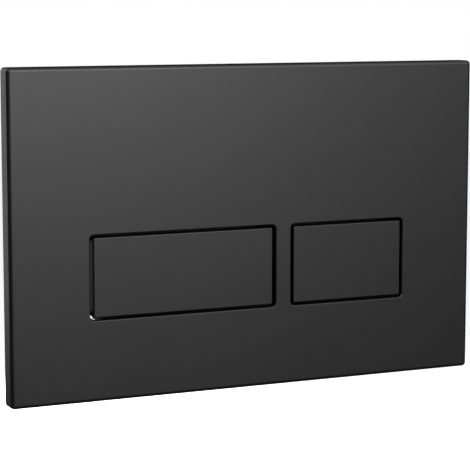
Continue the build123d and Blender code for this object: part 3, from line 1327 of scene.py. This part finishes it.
@dataclass(frozen=True)
class Panel:
    """A rectangle in the studio that faces a point."""

    name: str
    place: Point
    aim: Point
    size: Pair

    def turn(self, axis: str) -> Euler:
        """Turn that points one axis of the panel at its aim."""
        return (Vector(self.aim) - Vector(self.place)).to_track_quat(axis, "Y").to_euler()


@dataclass(frozen=True)
class Softbox(Panel):
    """One rectangular lamp."""

    power: float

    def hang(self) -> None:
        """Adds the lamp to the scene."""
        data = bpy.data.lights.new(self.name, "AREA")
        data.shape = "RECTANGLE"
        data.size, data.size_y = self.size
        data.energy = self.power
        lamp = bpy.data.objects.new(self.name, data)
        bpy.context.scene.collection.objects.link(lamp)
        lamp.location = self.place
        lamp.rotation_euler = self.turn("-Z")


@dataclass(frozen=True)
class Flag(Panel):
    """One black card that keeps white surroundings out of the reflections."""

    def stand(self, cloth: Material) -> None:
        """Adds the card to the scene, out of the camera's sight.

        Args:
            cloth: Black material.
        """
        card = Workpiece.start(bpy.ops.mesh.primitive_plane_add, size=1.0, location=self.place).piece
        card.name = self.name
        card.scale = (*self.size, 1.0)
        card.rotation_euler = self.turn("Z")
        card.data.materials.append(cloth)
        card.visible_camera = False
        card.visible_diffuse = False
        card.visible_shadow = False


@dataclass(frozen=True)
class Studio:
    """Floor, white surroundings, lamps, black cards and camera.

    Sizes and places are in metres, the sensor in millimetres, and angles in degrees.
    """

    floor_drop: float = 0.30
    floor_size: float = 14.0
    floor_grey: float = 0.8
    floor_lift: float = 0.65
    cloth_grey: float = 0.01
    ambient: float = 0.30
    focal_pixels: float = 1835.0
    image_pixels: float = 470.0
    sensor: float = 36.0
    near: float = 0.01
    yaw: float = 25.18
    pitch: float = 7.294
    # Where the camera sees the frame's origin: to the right, above and ahead of itself
    offset: Point = (0.00468, 0.00486, 0.9101)
    softboxes: tuple[Softbox, ...] = (
        Softbox("softbox_front", (0.39, -1.55, 0.42), (0.0, 0.0, 0.0), (0.50, 0.90), power=14.2),
        Softbox("softbox_top", (0.35, -1.3, 0.86), (0.0, 0.0, 0.0), (0.9, 0.3), power=3.6),
        Softbox("softbox_back", (-0.9, 1.2, 0.8), (0.0, 0.0, 0.0), (0.8, 0.8), power=2.0),
        Softbox("softbox_behind", (0.14, 1.1, -0.06), (0.14, 0.0, -0.06), (0.5, 0.26), power=5.5),
    )
    flags: tuple[Flag, ...] = (
        Flag("flag_low", (0.0, -1.44, -0.25), (0.0, -1.44, 1.0), (5.0, 5.12)),
        Flag("flag_front", (0.25, -2.2, 0.0), (0.25, 0.0, 0.0), (4.5, 0.6)),
        Flag("flag_left", (-2.0, -0.4, 0.35), (0.0, -0.4, 0.35), (3.6, 1.3)),
        Flag("flag_right", (2.4, -0.3, 0.2), (0.0, -0.3, 0.2), (3.8, 1.0)),
        Flag("flag_back", (1.0, 1.3, 0.7), (1.0, 0.0, 0.7), (2.6, 1.8)),
        Flag("flag_roof", (0.6, 0.6, 1.6), (0.6, 0.6, 0.0), (2.4, 1.2)),
    )

    @staticmethod
    def _seen(sheet: NodeSheet) -> Socket:
        """Mask of the rays that show the white surroundings.

        Args:
            sheet: Tree of the floor or the world.

        Returns:
            1 for camera, glossy and transmission rays.
        """
        path = sheet.add("ShaderNodeLightPath")
        shown = sheet.math("MAXIMUM", path.outputs["Is Camera Ray"], path.outputs["Is Glossy Ray"])
        return sheet.math("MAXIMUM", shown, path.outputs["Is Transmission Ray"])

    @staticmethod
    def _matt(sheet: NodeSheet, grey: float) -> Socket:
        """A plain matt grey."""
        return sheet.add("ShaderNodeBsdfDiffuse", {"Color": (grey, grey, grey, 1)}).outputs[0]

    def lay_floor(self) -> None:
        """Lays the pale floor well below the plate."""
        floor = Workpiece.start(bpy.ops.mesh.primitive_plane_add, size=self.floor_size,
                                location=(0, 0, -self.floor_drop)).piece
        floor.name = "floor"
        material, sheet = new_material("pale_floor")
        lift = sheet.math("MULTIPLY", self._seen(sheet), self.floor_lift)
        glow = sheet.add("ShaderNodeEmission", {"Strength": lift})
        both = sheet.add("ShaderNodeAddShader", {0: self._matt(sheet, self.floor_grey), 1: glow.outputs[0]})
        sheet.add("ShaderNodeOutputMaterial", {"Surface": both.outputs[0]})
        floor.data.materials.append(material)

    def surround(self) -> None:
        """Makes the surroundings white to the eye and soft grey as a light."""
        scene = bpy.context.scene
        scene.view_settings.view_transform = "Standard"
        world = bpy.data.worlds.new("white_surroundings")
        world.use_nodes = True
        scene.world = world
        sheet = NodeSheet(world.node_tree)
        light, white = (sheet.add("ShaderNodeBackground", {"Color": (1, 1, 1, 1), "Strength": level})
                        for level in (self.ambient, 1.0))
        mix = sheet.add("ShaderNodeMixShader", {
            "Fac": self._seen(sheet), 1: light.outputs[0], 2: white.outputs[0]})
        sheet.add("ShaderNodeOutputWorld", {"Surface": mix.outputs[0]})

    def set_flags(self) -> None:
        """Stands the black cards round the plate."""
        cloth, sheet = new_material("black_cloth")
        sheet.add("ShaderNodeOutputMaterial", {"Surface": self._matt(sheet, self.cloth_grey)})
        for flag in self.flags:
            flag.stand(cloth)

    def set_camera(self) -> None:
        """Sets the camera at the photograph's viewing angle."""
        data = bpy.data.cameras.new("camera")
        data.sensor_width = self.sensor
        data.lens = self.focal_pixels / self.image_pixels * self.sensor
        data.clip_start = self.near
        camera = bpy.data.objects.new("camera", data)
        bpy.context.scene.collection.objects.link(camera)
        yaw, pitch = math.radians(self.yaw), math.radians(self.pitch)
        forward = Vector((math.sin(yaw) * math.cos(pitch), math.cos(yaw) * math.cos(pitch), -math.sin(pitch)))
        right = Vector((math.cos(yaw), -math.sin(yaw), 0.0))
        above = right.cross(forward)
        camera.location = -(right * self.offset[0] + above * self.offset[1] + forward * self.offset[2])
        camera.rotation_euler = (math.pi / 2 - pitch, 0.0, -yaw)
        bpy.context.scene.camera = camera

    def build(self) -> None:
        """Sets up the whole studio."""
        self.lay_floor()
        self.surround()
        for softbox in self.softboxes:
            softbox.hang()
        self.set_flags()
        self.set_camera()
        LOG.info("studio with %d softboxes and %d flags", len(self.softboxes), len(self.flags))


def main() -> None:
    """Builds the pieces in order, dresses them and sets up the studio."""
    logging.basicConfig(level=logging.INFO, format="%(name)s: %(message)s")
    paintbox = Paintbox()
    assemblies = [CoverPlate(paintbox)]
    for button in (Body.FULL, Body.HALF):
        assemblies += [FlushButton(paintbox, button), ReturnSpring(paintbox, button=button)]
    assemblies += [Carrier(paintbox), WallFixing(paintbox)]
    for assembly in assemblies:
        assembly.build()
    paintbox.dress_frame()
    Studio().build()


if __name__ == "__main__":
    main()
